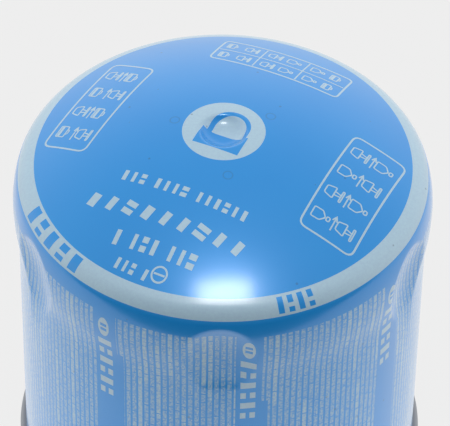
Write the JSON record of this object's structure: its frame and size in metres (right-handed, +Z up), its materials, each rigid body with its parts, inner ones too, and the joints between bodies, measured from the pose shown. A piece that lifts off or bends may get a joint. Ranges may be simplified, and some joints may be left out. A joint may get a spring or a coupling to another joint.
{
  "type": "pierceable gas cartridge",
  "caption": "Sealed round fuel canister with a domed crown, a shallow piercing dish at its centre, a necked shoulder and a seamed-on bottom end.",
  "frame": {"origin": "centre of the foot circle, on the plane that the can stands on", "axes": "+Z up along the can's axis, from the seamed bottom end to the crown; X and Y are alike, because the can is round"},
  "size_m": [0.0908, 0.0908, 0.0921],
  "materials": {
    "lacquered_shell": "gloss blue lacquer over bright steel with pale grey-blue print",
    "bare_steel": "dull dark-grey tinplate of the bottom end and its double seam"
  },
  "bodies": {
    "root": {"gas_cartridge": "lacquered_shell"}
  },
  "joints": []
}
